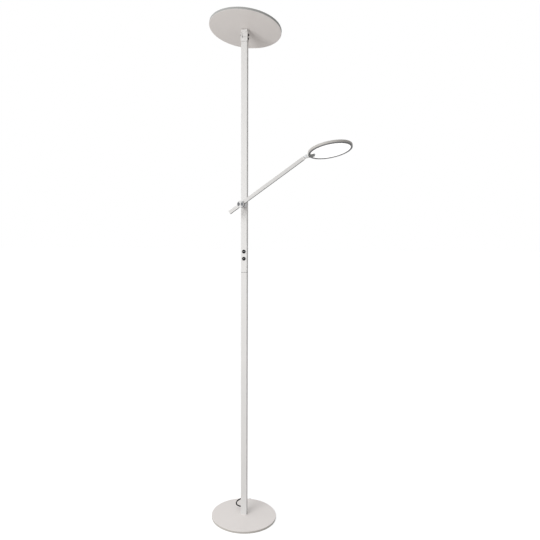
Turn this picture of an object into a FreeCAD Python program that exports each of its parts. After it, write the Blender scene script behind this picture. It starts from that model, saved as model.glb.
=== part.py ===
"""Floor lamp with an uplight disc and a reading arm.

Millimetres, +Z up.  The origin is the centre of the base's underside, the front of the lamp faces -Y
and +X is to its right.  The arm and both heads stand in their rest position.
"""
import FreeCAD, Part
import math
import os

V = FreeCAD.Vector

# ---------------------------------------------------------------- driving dimensions: base
BASE_RADIUS = 120.0
BASE_HEIGHT = 8.5             # floor to the top of the cover
COVER_SHEET = 1.2
COVER_FLOOR_GAP = 0.8         # skirt to floor
COVER_EDGE = 1.2              # rounding of the cover's upper edge
PAD_MARGIN = 5.0              # cover's rim to the pad's edge
PAD_THICKNESS = 1.5
WEIGHT_GAP = 2.0              # weight plate to skirt, radially
STUD_INSET = 28.0             # cover's rim to the studs
STUD_COUNT = 4
STUD_RADIUS = 2.5
NUT_ACROSS_FLATS = 8.0
NUT_HEIGHT = 3.0
NUT_POCKET_RADIUS = 6.0
NUT_POCKET_DEPTH = 3.4

# ---------------------------------------------------------------- driving dimensions: pole
POLE_Y = 6.0                  # the pole stands a little behind the base's centre
POLE_SIDE = 22.0
POLE_WALL = 1.2
POLE_CORNER = 1.0
SEAM_CHAMFER = 0.6            # at the tubes' ends, so that each seam shows as a fine groove
LOWER_POLE_LENGTH = 907.5
UPPER_POLE_LENGTH = 814.0
FOOT_PLUG_HEIGHT = 38.0
BOLT_RADIUS = 4.0
BOLT_HEAD_RADIUS = 8.0
BOLT_HEAD_HEIGHT = 3.0
BOLT_HEAD_CLEARANCE = 0.4
BOLT_LENGTH_IN_PLUG = 28.0
JOINER_LENGTH = 60.0
JOINER_WALL = 1.5
JOINER_CLEARANCE = 0.15
JOINER_SCREW_RADIUS = 2.0
JOINER_SCREW_HEAD_RADIUS = 3.4
JOINER_SCREW_HEAD_HEIGHT = 0.8
JOINER_SCREW_OFFSET = 18.0    # each side of the seam

# ---------------------------------------------------------------- driving dimensions: leads
LEAD_RADIUS = 2.25
LEAD_HEIGHT_IN_BASE = 4.5
LEAD_SLOT_WIDTH = 7.0
GROMMET_FLANGE_RADIUS = 5.5
GROMMET_FLANGE = 1.5
GROMMET_BODY_RADIUS = 3.8
GROMMET_NOSE_RADIUS = 3.3
GLAND_WIDTH = 10.0
GLAND_HEIGHT = 6.0
GLAND_PROUD = 3.0
GLAND_LENGTH = 9.0
GLAND_BORE_RADIUS = 2.6
GLAND_BORE_DEPTH = 6.0
CLAMP_INSET = 28.0            # cover's rim to the lead clamp
CLAMP_LENGTH = 22.0
CLAMP_WIDTH = 10.0
CLAMP_SHEET = 0.7
POLE_LEAD_RADIUS = 2.0
POLE_LEAD_OFFSET = 5.0        # from the pole's axis, to the left and to the back
POLE_LEAD_RISE = 41.5         # above the base
POLE_LEAD_STOP_GAP = 4.0      # below the fork's plug
DRIVER_WIDTH = 15.0
DRIVER_DEPTH = 8.0
DRIVER_LENGTH = 130.0
DRIVER_RISE = 291.5           # above the base

# The short lead's route: out of the pole's back, round to the left and down into the base.
JUMPER_ROUTE = [
    V(0.0, 21.5, 57.5),
    V(0.0, 29.0, 57.5),
    V(-6.0, 35.0, 55.6),
    V(-14.5, 36.5, 51.0),
    V(-23.5, 35.8, 45.6),
    V(-31.2, 34.5, 39.8),
    V(-36.4, 33.6, 32.6),
    V(-35.4, 33.0, 24.4),
    V(-27.6, 33.0, 20.6),
    V(-18.0, 33.0, 18.8),
    V(-9.0, 33.0, 16.8),
    V(-2.8, 33.0, 12.4),
]

# ---------------------------------------------------------------- driving dimensions: buttons
LOWER_BUTTON_RISE = 49.5      # above the seam
BUTTON_SPACING = 25.5
BUTTON_RADIUS = 6.5
BUTTON_PROUD = 1.3
BUTTON_EDGE = 0.5
BUTTON_TRAVEL = 0.8
BUTTON_HOLE_CLEARANCE = 0.2
BUTTON_FLANGE_RADIUS = 7.5
BUTTON_FLANGE = 1.2
BUTTON_FLANGE_GAP = 0.1       # behind the pole's wall at rest
BUTTON_STEM_RADIUS = 2.0
BUTTON_STEM = 1.0
BUTTON_DIMPLE = 0.25
MARK_WIDTH = 5.0
MARK_HEIGHT = 1.1
MARK_DEPTH = 1.0
SWITCH_SIDE = 6.0
SWITCH_DEPTH = 3.4
SWITCH_PLUNGER_RADIUS = 1.7
SWITCH_PLUNGER = 0.3
SWITCH_GAP = 0.1              # left between stem and plunger when fully pressed
BOARD_WIDTH = 18.0
BOARD_THICKNESS = 1.2
GUIDE_RAIL = 1.8
GUIDE_SIDE_GAP = 0.4
GUIDE_END = 6.0
GUIDE_MARGIN = 12.0           # button axis to the guide's inner end

# ---------------------------------------------------------------- driving dimensions: reading arm
PIVOT_RISE = 242.4            # above the seam
ARM_STANDOFF = 60.0           # pole axis to arm axis
ARM_ANGLE = 35.2              # above the horizontal, at rest
ARM_SIDE = 12.0
ARM_WALL = 1.0
ARM_CORNER = 0.8
ARM_TAIL = 48.6
ARM_LENGTH = 263.5            # pivot to the tube's far end
NOSE_REACH = 8.0              # nose shoulder to the head's hinge pin
TAIL_CAP = 1.5
TAIL_PLUG = 7.0
BARREL_RADIUS = 12.0
BARREL_EDGE = 0.8
SPINDLE_RADIUS = 5.0
SPINDLE_NOSE_RADIUS = 3.5
SPINDLE_BORE_RADIUS = 2.0
SPINDLE_TAIL = 7.0            # past the pole's inner wall
SPINDLE_NUT_ACROSS_FLATS = 15.0
SPINDLE_NUT_HEIGHT = 5.0
WASHER_RADIUS = 9.0
WASHER_THICKNESS = 0.8
WASHER_SPACE = 1.0
BUSH_WALL = 1.1
RUNNING_CLEARANCE = 0.05
KNOB_RADIUS = 12.0
KNOB_THICKNESS = 6.0
KNOB_EDGE = 1.0
KNOB_DISH_RADIUS = 9.5
KNOB_DISH = 0.5
KNOB_FACE = 2.2               # left in front of the spindle's end
ARM_LEAD_RADIUS = 1.5
ARM_LEAD_START = 8.0

# ---------------------------------------------------------------- driving dimensions: reading head
LINK_ANGLE = 10.5             # head hinge to head centre, above the horizontal, at rest
SWIVEL_ANGLE = -10.1          # about the link's axis, at rest
HEAD_RIM_GAP = 7.6            # hinge pin to the head's rim
NOSE_PLUG = 12.0
NOSE_SHOULDER = 4.0
TONGUE_THICKNESS = 4.4
KNUCKLE_RADIUS = 5.5
KNUCKLE_GAP = 0.3
KNUCKLE_CHEEK = 3.4
KNUCKLE_THROAT = 0.7          # tongue tip to the fork's root
KNUCKLE_ROOT = 2.6
KNUCKLE_PIN_RADIUS = 2.0
KNUCKLE_PIN_HEAD_RADIUS = 3.2
KNUCKLE_PIN_HEAD = 1.0
SPIGOT_RADIUS = 3.5
BOSS_RADIUS = 6.4
BOSS_LENGTH = 20.0
BOSS_GAP = 0.4                # fork root to boss
SWIVEL_FLANGE_RADIUS = 5.0
SWIVEL_FLANGE = 0.8
SWIVEL_END_PLAY = 0.2
SWIVEL_SCREW_RADIUS = 1.5
SWIVEL_SCREW_HEAD_RADIUS = 2.8
SWIVEL_SCREW_HEAD = 1.8
HEAD_RADIUS = 75.2
HEAD_THICKNESS = 10.4
HEAD_FACE_RADIUS = 74.0       # outer radius of the lip and of the wall's lower edge
HEAD_TOP_ROUND = 2.4
HEAD_WALL = 1.6
HEAD_TOP_SHEET = 1.4
HEAD_FACE_STEP = 2.0          # height over which the wall narrows to the lip
LIP_WIDTH = 6.0               # outer edge to the lit opening
LIP_HEIGHT = 2.0              # the dark lip below the housing's wall
LIP_LEDGE = 1.5               # lip's lower face to the diffuser's seat
LIP_COLLAR_WIDTH = 2.3
NOTCH_RADIUS = 8.5            # room for the fork's root in the housing's wall
POCKET_GAP = 0.3              # around the swivel boss, in what lies inside the head
BOSS_SCREW_HEAD_RADIUS = 2.8
BOSS_SCREW_HEAD = 1.2
BOSS_SCREW_LENGTH = 5.6
BOSS_SCREW_INSET = 5.0        # from the boss's ends
HEAD_DIFFUSER = 1.6
HEAD_PART_CLEARANCE = 0.2
GUIDE_THICKNESS = 3.0
REFLECTOR_THICKNESS = 0.5
STRIP_THICKNESS = 1.0
BACK_FRAME_INNER = 60.0

# ---------------------------------------------------------------- driving dimensions: uplight
TILT_ANGLE = -10.2            # about +X, at rest: the front of the disc is up
SIDE_TILT_ANGLE = 5.8         # about the link's own front-to-back axis, at rest
TILT_PIN_RISE = 24.0          # above the pole's top
FORK_SIDE = 25.0
FORK_CORNER = 1.6
FORK_TAPER = 8.0
FORK_PLUG = 24.0
FORK_CHEEK = 4.5
FORK_GAP = 0.3
LEAD_HOLE_RADIUS = 2.4
LEAD_HOLE_OFFSET = 6.2        # behind the tilt screw
TILT_PIN_RADIUS = 2.5
TILT_HEAD_RADIUS = 3.8
TILT_HEAD = 3.2
TILT_SOCKET_RADIUS = 1.6
TILT_SOCKET = 1.8
TILT_NUT_RADIUS = 4.2
TILT_NUT = 2.4
LOCK_SCREW_DROP = 12.6        # below the tilt screw
LOCK_SCREW_RADIUS = 1.25
LOCK_SCREW_DEPTH = 5.0
LOCK_SCREW_HEAD_RADIUS = 3.2
LOCK_SCREW_HEAD = 2.4
LOCK_SCREW_SOCKET_RADIUS = 1.25
LOCK_SCREW_SOCKET = 1.2
LINK_SIDE = 22.0
LINK_TOP = 17.5               # above the tilt pin
LINK_TOP_CHAMFER = 1.5
SIDE_PIN_HEIGHT = 14.3        # above the tilt pin
SIDE_PIN_RADIUS = 2.0
SIDE_PIN_FRONT = 7.0          # reach in front of the link's axis
LINK_TONGUE_RADIUS = 10.4
LINK_FLOOR_GAP = 0.3          # tongue to the slot's floor
LINK_RECESS_GAP = 0.6         # around the fork's round cheeks
HUB_TONGUE_SIDE = 8.0
HUB_POCKET_SIDE_GAP = 1.2
HUB_POCKET_END_GAP = 0.2
HUB_POCKET_FLOOR = 0.4
DISC_ABOVE_SIDE_PIN = 5.7
DISC_RADIUS = 129.0
DISC_THICKNESS = 7.8
DISC_SHEET = 1.4
DISC_EDGE = 1.6
HUB_FLANGE_RADIUS = 24.0
HUB_FLANGE = 2.4
HUB_SCREW_CIRCLE = 18.0
HUB_SCREW_COUNT = 4
HUB_SCREW_RADIUS = 1.5
HUB_SCREW_HEAD_RADIUS = 2.8
HUB_SCREW_HEAD = 1.2
UPLIGHT_BOARD_INNER = 55.0
UPLIGHT_BOARD_OUTER = 108.0
UPLIGHT_BOARD = 1.6
UPLIGHT_LED_COUNT = 24
UPLIGHT_LED_SIDE = 5.0
UPLIGHT_LED = 0.8
UPLIGHT_LED_CIRCLE = 84.0
UPLIGHT_DIFFUSER = 2.0
UPLIGHT_DIFFUSER_INSET = 0.5
UPLIGHT_DIFFUSER_CLEARANCE = 0.3
SPACER_WIDTH = 3.0

# ---------------------------------------------------------------- derived places
POLE_HALF = POLE_SIDE / 2
POLE_FRONT = POLE_Y - POLE_HALF
POLE_BACK = POLE_Y + POLE_HALF
BORE_HALF = POLE_HALF - POLE_WALL
FRONT_WALL_INSIDE = POLE_FRONT + POLE_WALL
COVER_UNDERSIDE = BASE_HEIGHT - COVER_SHEET
SEAM_HEIGHT = BASE_HEIGHT + LOWER_POLE_LENGTH
POLE_TOP = SEAM_HEIGHT + UPPER_POLE_LENGTH
BUTTON_HEIGHTS = (SEAM_HEIGHT + LOWER_BUTTON_RISE + BUTTON_SPACING, SEAM_HEIGHT + LOWER_BUTTON_RISE)
PIVOT_HEIGHT = SEAM_HEIGHT + PIVOT_RISE
TILT_PIN_HEIGHT = POLE_TOP + TILT_PIN_RISE
WEIGHT_RADIUS = BASE_RADIUS - COVER_SHEET - WEIGHT_GAP
PAD_RADIUS = BASE_RADIUS - PAD_MARGIN
STUD_CIRCLE = BASE_RADIUS - STUD_INSET
CLAMP_Y = BASE_RADIUS - CLAMP_INSET
FORK_HALF = FORK_SIDE / 2
PLUG_BOTTOM = POLE_TOP - FORK_PLUG
ARM_Y = POLE_Y - ARM_STANDOFF
ARM_HALF = ARM_SIDE / 2
ARM_REACH = ARM_LENGTH + NOSE_SHOULDER + NOSE_REACH
HEAD_REACH = HEAD_RADIUS + HEAD_RIM_GAP
BARREL_END = ARM_Y + ARM_HALF + WASHER_SPACE
KNOB_BACK = ARM_Y - ARM_HALF - WASHER_SPACE
KNOB_FRONT = KNOB_BACK - KNOB_THICKNESS
LINK_HALF = LINK_SIDE / 2
LINK_TONGUE_HALF = FORK_HALF - FORK_CHEEK - FORK_GAP
KNUCKLE_ROOT_START = KNUCKLE_RADIUS + KNUCKLE_THROAT
BOSS_START = KNUCKLE_ROOT_START + KNUCKLE_ROOT + BOSS_GAP
BOSS_END = BOSS_START + BOSS_LENGTH
LEAD_ENTRY = JUMPER_ROUTE[-1] + (JUMPER_ROUTE[-1] - JUMPER_ROUTE[-2]).normalize() * 4.0

# Frames of the pieces that stand at an angle.  Each local frame is turned into the lamp's by its placement.
ARM_FRAME = FreeCAD.Placement(V(0, ARM_Y, PIVOT_HEIGHT), FreeCAD.Rotation(V(0, -1, 0), ARM_ANGLE))
HEAD_HINGE = ARM_FRAME.multVec(V(ARM_REACH, 0, 0))
KNUCKLE_FRAME = FreeCAD.Placement(HEAD_HINGE, FreeCAD.Rotation(V(0, -1, 0), LINK_ANGLE))
SWIVEL = FreeCAD.Placement(V(0, 0, 0), FreeCAD.Rotation(V(1, 0, 0), SWIVEL_ANGLE))
HEAD_CENTRE = FreeCAD.Placement(V(HEAD_REACH, 0, 0), FreeCAD.Rotation())
SWIVEL_FRAME = KNUCKLE_FRAME.multiply(SWIVEL)
HEAD_FRAME = SWIVEL_FRAME.multiply(HEAD_CENTRE)
TILT_FRAME = FreeCAD.Placement(V(0, POLE_Y, TILT_PIN_HEIGHT), FreeCAD.Rotation(V(1, 0, 0), TILT_ANGLE))
SIDE_TILT = FreeCAD.Placement(V(0, 0, SIDE_PIN_HEIGHT), FreeCAD.Rotation(V(0, 1, 0), SIDE_TILT_ANGLE))
UPLIGHT_FRAME = TILT_FRAME.multiply(SIDE_TILT)


# ---------------------------------------------------------------- helpers
def block(x0, x1, y0, y1, z0, z1):
    """A box between two corners."""
    return Part.makeBox(x1 - x0, y1 - y0, z1 - z0, V(x0, y0, z0))


def rod(radius, start, end):
    """A round bar from one point to another."""
    return Part.makeCylinder(radius, (end - start).Length, start, end - start)


def cone(radius_start, radius_end, start, end):
    """A tapered round bar from one point to another."""
    return Part.makeCone(radius_start, radius_end, (end - start).Length, start, end - start)


def ring(outer, inner, z0, z1):
    """A flat ring about the Z axis."""
    return rod(outer, V(0, 0, z0), V(0, 0, z1)).cut(rod(inner, V(0, 0, z0 - 1), V(0, 0, z1 + 1)))


def hexagon(across_flats, start, end):
    """A hexagonal bar from one point to another."""
    axis = end - start
    turn = FreeCAD.Rotation(V(0, 0, 1), axis)
    corner = across_flats / math.sqrt(3)
    points = []
    for step in range(7):
        angle = math.radians(60 * step)
        points.append(start + turn.multVec(V(corner * math.cos(angle), corner * math.sin(angle), 0)))
    return Part.Face(Part.makePolygon(points)).extrude(axis)


def edges_along(shape, direction):
    """The straight edges that run along a direction."""
    found = []
    for edge in shape.Edges:
        if edge.Curve.TypeId == "Part::GeomLine":
            run = edge.Vertexes[-1].Point - edge.Vertexes[0].Point
            if run.cross(direction).Length < 1e-6:
                found.append(edge)
    return found


def square_bar(side, z0, z1, corner, y=0.0):
    """An upright square bar with rounded corners, centred on (0, y)."""
    half = side / 2
    bar = block(-half, half, y - half, y + half, z0, z1)
    return bar.makeFillet(corner, edges_along(bar, V(0, 0, 1))) if corner > 0 else bar


def square_tube(side, wall, z0, z1, corner, y=0.0, chamfered_ends=()):
    """An upright square tube; its inner corners follow the outer ones."""
    inner_corner = max(corner - wall, 0)
    inside = square_bar(side - 2 * wall, z0 - 1, z1 + 1, inner_corner, y)
    bar = square_bar(side, z0, z1, corner, y)
    for z in chamfered_ends:
        bar = bar.makeChamfer(SEAM_CHAMFER, [e for e in bar.Edges if level_edge(e, z)])
    return bar.cut(inside)


def level_edge(edge, z):
    """True for an edge that lies at a height all along."""
    return abs(edge.BoundBox.ZMin - z) < 1e-3 and abs(edge.BoundBox.ZMax - z) < 1e-3


def turned(profile):
    """A solid turned about Z from a closed list of (radius, height) points."""
    points = [V(r, 0, z) for r, z in profile]
    return Part.Face(Part.makePolygon(points + points[:1])).revolve(V(0, 0, 0), V(0, 0, 1), 360)


def in_frame(shape, frame):
    """The shape moved out of its local frame."""
    moved = shape.copy()
    moved.Placement = frame.multiply(moved.Placement)
    return moved


def around(count, radius, start_angle=45.0):
    """Points evenly spaced on a circle about Z."""
    for step in range(count):
        angle = math.radians(start_angle + 360.0 * step / count)
        yield V(radius * math.cos(angle), radius * math.sin(angle), 0)


def group(shapes):
    """Separate solids that share one node."""
    return Part.makeCompound(shapes)


# ---------------------------------------------------------------- base
def base_cover():
    skirt = rod(BASE_RADIUS, V(0, 0, COVER_FLOOR_GAP), V(0, 0, BASE_HEIGHT))
    rim = [e for e in skirt.Edges if e.BoundBox.ZMin > BASE_HEIGHT - 1e-3]
    skirt = skirt.makeFillet(COVER_EDGE, rim)
    skirt = skirt.cut(rod(BASE_RADIUS - COVER_SHEET, V(0, 0, 0), V(0, 0, COVER_UNDERSIDE)))
    skirt = skirt.cut(rod(BOLT_RADIUS, V(0, POLE_Y, 0), V(0, POLE_Y, BASE_HEIGHT + 1)))
    skirt = skirt.cut(rod(GROMMET_BODY_RADIUS, lead_entry_at(0), lead_entry_at(BASE_HEIGHT + 1)))
    return skirt.cut(gland_body())


def lead_entry_at(z):
    """A point over the place where the short lead goes into the base."""
    return V(LEAD_ENTRY.x, LEAD_ENTRY.y, z)


def base_weight():
    plate = rod(WEIGHT_RADIUS, V(0, 0, PAD_THICKNESS), V(0, 0, COVER_UNDERSIDE))
    head_space = rod(BOLT_HEAD_RADIUS + BOLT_HEAD_CLEARANCE, V(0, POLE_Y, 0),
                     V(0, POLE_Y, PAD_THICKNESS + BOLT_HEAD_HEIGHT))
    plate = plate.cut(head_space).cut(rod(BOLT_RADIUS, V(0, POLE_Y, 0), V(0, POLE_Y, BASE_HEIGHT)))
    for place in around(STUD_COUNT, STUD_CIRCLE):
        plate = plate.cut(rod(STUD_RADIUS, place, place + V(0, 0, BASE_HEIGHT)))
        pocket_top = PAD_THICKNESS + NUT_POCKET_DEPTH
        plate = plate.cut(rod(NUT_POCKET_RADIUS, place, place + V(0, 0, pocket_top)))
    half = LEAD_SLOT_WIDTH / 2
    slot = block(LEAD_ENTRY.x - half, LEAD_ENTRY.x + half, LEAD_ENTRY.y - half - 1, BASE_RADIUS,
                 0, BASE_HEIGHT)
    plate = plate.cut(slot).cut(gland_body())
    plate = plate.cut(cord_clamp())
    return plate


def base_studs():
    studs = []
    for place in around(STUD_COUNT, STUD_CIRCLE):
        studs.append(rod(STUD_RADIUS, place + V(0, 0, PAD_THICKNESS + 0.1), place + V(0, 0, COVER_UNDERSIDE)))
    return group(studs)


def base_nuts():
    nuts = []
    top = PAD_THICKNESS + NUT_POCKET_DEPTH
    for place in around(STUD_COUNT, STUD_CIRCLE):
        nut = hexagon(NUT_ACROSS_FLATS, place + V(0, 0, top - NUT_HEIGHT), place + V(0, 0, top))
        nuts.append(nut.cut(rod(STUD_RADIUS, place, place + V(0, 0, BASE_HEIGHT))))
    return group(nuts)


def base_pad():
    return rod(PAD_RADIUS, V(0, 0, 0), V(0, 0, PAD_THICKNESS))


def gland_body():
    half = GLAND_WIDTH / 2
    low = LEAD_HEIGHT_IN_BASE - GLAND_HEIGHT / 2
    back = BASE_RADIUS + GLAND_PROUD
    body = block(LEAD_ENTRY.x - half, LEAD_ENTRY.x + half, back - GLAND_LENGTH, back,
                 low, low + GLAND_HEIGHT)
    return body.makeFillet(2.0, edges_along(body, V(0, 1, 0)))


def mains_gland():
    back = BASE_RADIUS + GLAND_PROUD
    mouth = V(LEAD_ENTRY.x, back + 1, LEAD_HEIGHT_IN_BASE)
    return gland_body().cut(rod(GLAND_BORE_RADIUS, V(mouth.x, back - GLAND_BORE_DEPTH, mouth.z), mouth))


def base_lead():
    start = V(LEAD_ENTRY.x, LEAD_ENTRY.y, LEAD_HEIGHT_IN_BASE)
    end = V(LEAD_ENTRY.x, BASE_RADIUS + GLAND_PROUD - GLAND_LENGTH, LEAD_HEIGHT_IN_BASE)
    return rod(LEAD_RADIUS, start, end)


def cord_clamp():
    half = CLAMP_LENGTH / 2
    return block(LEAD_ENTRY.x - half, LEAD_ENTRY.x + half, CLAMP_Y - CLAMP_WIDTH / 2,
                 CLAMP_Y + CLAMP_WIDTH / 2, PAD_THICKNESS, PAD_THICKNESS + CLAMP_SHEET)


def base_grommet():
    body = rod(GROMMET_BODY_RADIUS, lead_entry_at(COVER_UNDERSIDE), lead_entry_at(BASE_HEIGHT))
    flange = rod(GROMMET_FLANGE_RADIUS, lead_entry_at(BASE_HEIGHT), lead_entry_at(BASE_HEIGHT + GROMMET_FLANGE))
    tip = JUMPER_ROUTE[-1]
    root = tip + (tip - JUMPER_ROUTE[-2]).normalize() * 4.5
    nose = cone(GROMMET_NOSE_RADIUS, LEAD_RADIUS + 0.5, root, tip)
    above = block(-BASE_RADIUS, BASE_RADIUS, -BASE_RADIUS, BASE_RADIUS, BASE_HEIGHT, BASE_HEIGHT + 20)
    return body.fuse(flange).fuse(nose.common(above)).removeSplitter()


# ---------------------------------------------------------------- short lead
def jumper_path():
    """Straight runs joined by tangent arcs along the route; also gives the arcs' radii."""
    route = JUMPER_ROUTE
    edges = []
    radii = []
    last = route[0]
    for before, corner, after in zip(route, route[1:], route[2:]):
        back = (before - corner).normalize()
        onward = (after - corner).normalize()
        half_turn = (math.pi - back.getAngle(onward)) / 2
        shorter = min((before - corner).Length, (after - corner).Length)
        setback = 0.45 * shorter
        radius = setback / math.tan(half_turn)
        start = corner + back * setback
        end = corner + onward * setback
        middle_line = (back + onward).normalize()
        centre = corner + middle_line * math.hypot(radius, setback)
        edges.append(Part.LineSegment(last, start).toShape())
        edges.append(Part.Arc(start, centre - middle_line * radius, end).toShape())
        radii.append(radius)
        last = end
    edges.append(Part.LineSegment(last, route[-1]).toShape())
    return Part.Wire(edges), radii


def jumper_lead():
    path, radii = jumper_path()
    section = Part.Wire(Part.makeCircle(LEAD_RADIUS, JUMPER_ROUTE[0], JUMPER_ROUTE[1] - JUMPER_ROUTE[0]))
    tube = path.makePipeShell([section], True, False)
    expected = math.pi * LEAD_RADIUS ** 2 * path.Length
    print("short lead: length %.1f, volume %.1f of %.1f" % (path.Length, tube.Volume, expected))
    print("short lead: radii", [round(r, 1) for r in radii])
    return tube


def pole_grommet():
    height = JUMPER_ROUTE[0].z
    body = rod(GROMMET_BODY_RADIUS, V(0, POLE_BACK - POLE_WALL, height), V(0, POLE_BACK, height))
    flange = rod(GROMMET_FLANGE_RADIUS, V(0, POLE_BACK, height), V(0, POLE_BACK + GROMMET_FLANGE, height))
    nose = cone(GROMMET_NOSE_RADIUS, LEAD_RADIUS + 0.5, V(0, POLE_BACK + GROMMET_FLANGE, height), JUMPER_ROUTE[0])
    return body.fuse(flange).fuse(nose).removeSplitter()


# ---------------------------------------------------------------- pole
def pole_foot_plug():
    plug = square_bar(POLE_SIDE - 2 * POLE_WALL, BASE_HEIGHT, BASE_HEIGHT + FOOT_PLUG_HEIGHT,
                      max(POLE_CORNER - POLE_WALL, 0), POLE_Y)
    return plug.cut(rod(BOLT_RADIUS, V(0, POLE_Y, 0), V(0, POLE_Y, BASE_HEIGHT + BOLT_LENGTH_IN_PLUG)))


def pole_bolt():
    head_top = PAD_THICKNESS + BOLT_HEAD_HEIGHT
    head = rod(BOLT_HEAD_RADIUS, V(0, POLE_Y, PAD_THICKNESS), V(0, POLE_Y, head_top))
    shank = rod(BOLT_RADIUS, V(0, POLE_Y, head_top), V(0, POLE_Y, BASE_HEIGHT + BOLT_LENGTH_IN_PLUG))
    return head.fuse(shank)


def lower_pole():
    tube = square_tube(POLE_SIDE, POLE_WALL, BASE_HEIGHT, SEAM_HEIGHT, POLE_CORNER, POLE_Y, (SEAM_HEIGHT,))
    height = JUMPER_ROUTE[0].z
    tube = tube.cut(rod(GROMMET_BODY_RADIUS, V(0, POLE_Y, height), V(0, POLE_BACK + 1, height)))
    return tube.cut(joiner_screw(SEAM_HEIGHT - JOINER_SCREW_OFFSET))


def upper_pole():
    ends = (SEAM_HEIGHT, POLE_TOP)
    tube = square_tube(POLE_SIDE, POLE_WALL, SEAM_HEIGHT, POLE_TOP, POLE_CORNER, POLE_Y, ends)
    for height in BUTTON_HEIGHTS:
        hole = rod(BUTTON_RADIUS + BUTTON_HOLE_CLEARANCE, V(0, POLE_FRONT - 1, height), V(0, POLE_Y, height))
        tube = tube.cut(hole)
    tube = tube.cut(rod(SPINDLE_RADIUS, V(0, POLE_FRONT - 1, PIVOT_HEIGHT), V(0, POLE_Y, PIVOT_HEIGHT)))
    return tube.cut(joiner_screw(SEAM_HEIGHT + JOINER_SCREW_OFFSET))


def pole_joiner():
    side = POLE_SIDE - 2 * POLE_WALL - 2 * JOINER_CLEARANCE
    half = JOINER_LENGTH / 2
    sleeve = square_tube(side, JOINER_WALL, SEAM_HEIGHT - half, SEAM_HEIGHT + half, 0.4, POLE_Y)
    for offset in (-JOINER_SCREW_OFFSET, JOINER_SCREW_OFFSET):
        sleeve = sleeve.cut(joiner_screw(SEAM_HEIGHT + offset))
    return sleeve


def joiner_screw(height):
    inner = POLE_BACK - POLE_WALL - JOINER_CLEARANCE - JOINER_WALL
    shank = rod(JOINER_SCREW_RADIUS, V(0, inner, height), V(0, POLE_BACK, height))
    head = rod(JOINER_SCREW_HEAD_RADIUS, V(0, POLE_BACK, height),
               V(0, POLE_BACK + JOINER_SCREW_HEAD_HEIGHT, height))
    return shank.fuse(head)


def joiner_screws():
    return group([joiner_screw(SEAM_HEIGHT + offset) for offset in (-JOINER_SCREW_OFFSET, JOINER_SCREW_OFFSET)])


def pole_lead():
    place = V(-POLE_LEAD_OFFSET, POLE_Y + POLE_LEAD_OFFSET, 0)
    top = PLUG_BOTTOM - POLE_LEAD_STOP_GAP
    return rod(POLE_LEAD_RADIUS, place + V(0, 0, BASE_HEIGHT + POLE_LEAD_RISE), place + V(0, 0, top))


def led_driver():
    half = DRIVER_WIDTH / 2
    bottom = BASE_HEIGHT + DRIVER_RISE
    case = block(-half, half, FRONT_WALL_INSIDE, FRONT_WALL_INSIDE + DRIVER_DEPTH,
                 bottom, bottom + DRIVER_LENGTH)
    return case.makeFillet(1.0, edges_along(case, V(0, 0, 1)))


# ---------------------------------------------------------------- buttons
CAP_FRONT = POLE_FRONT - BUTTON_PROUD
FLANGE_FRONT = FRONT_WALL_INSIDE + BUTTON_FLANGE_GAP
STEM_END = FLANGE_FRONT + BUTTON_FLANGE + BUTTON_STEM
PLUNGER_FRONT = STEM_END + BUTTON_TRAVEL + SWITCH_GAP
SWITCH_FRONT = PLUNGER_FRONT + SWITCH_PLUNGER
BOARD_FRONT = SWITCH_FRONT + SWITCH_DEPTH
BOARD_BACK = BOARD_FRONT + BOARD_THICKNESS
GUIDE_BOTTOM = min(BUTTON_HEIGHTS) - GUIDE_MARGIN
GUIDE_TOP = max(BUTTON_HEIGHTS) + GUIDE_MARGIN


def mark_pocket(height):
    """The small window set into a button's face."""
    return block(-MARK_WIDTH / 2, MARK_WIDTH / 2, CAP_FRONT + BUTTON_DIMPLE, CAP_FRONT + BUTTON_DIMPLE + MARK_DEPTH,
                 height - MARK_HEIGHT / 2, height + MARK_HEIGHT / 2)


def button_cap(height):
    cap = rod(BUTTON_RADIUS, V(0, CAP_FRONT, height), V(0, FLANGE_FRONT, height))
    face = [e for e in cap.Edges if e.BoundBox.YMax < CAP_FRONT + 1e-3]
    cap = cap.makeFillet(BUTTON_EDGE, face)
    dish = rod(BUTTON_RADIUS - 2 * BUTTON_EDGE, V(0, CAP_FRONT - 1, height), V(0, CAP_FRONT + BUTTON_DIMPLE, height))
    flange = rod(BUTTON_FLANGE_RADIUS, V(0, FLANGE_FRONT, height), V(0, FLANGE_FRONT + BUTTON_FLANGE, height))
    stem = rod(BUTTON_STEM_RADIUS, V(0, FLANGE_FRONT + BUTTON_FLANGE, height), V(0, STEM_END, height))
    return cap.cut(dish).cut(mark_pocket(height)).fuse(flange).fuse(stem)


def tact_switches():
    half = SWITCH_SIDE / 2
    switches = []
    for height in BUTTON_HEIGHTS:
        body = block(-half, half, SWITCH_FRONT, BOARD_FRONT, height - half, height + half)
        plunger = rod(SWITCH_PLUNGER_RADIUS, V(0, PLUNGER_FRONT, height), V(0, SWITCH_FRONT, height))
        switches.append(body.fuse(plunger))
    return group(switches)


def control_board():
    half = BOARD_WIDTH / 2
    return block(-half, half, BOARD_FRONT, BOARD_BACK, GUIDE_BOTTOM - GUIDE_END / 2, GUIDE_TOP + GUIDE_END / 2)


def button_guide():
    outer = BORE_HALF - GUIDE_SIDE_GAP
    frame = block(-outer, outer, FRONT_WALL_INSIDE, BOARD_BACK, GUIDE_BOTTOM - GUIDE_END, GUIDE_TOP + GUIDE_END)
    inner = outer - GUIDE_RAIL
    window = block(-inner, inner, FRONT_WALL_INSIDE - 1, BOARD_BACK + 1, GUIDE_BOTTOM, GUIDE_TOP)
    return frame.cut(window).cut(control_board())


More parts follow.
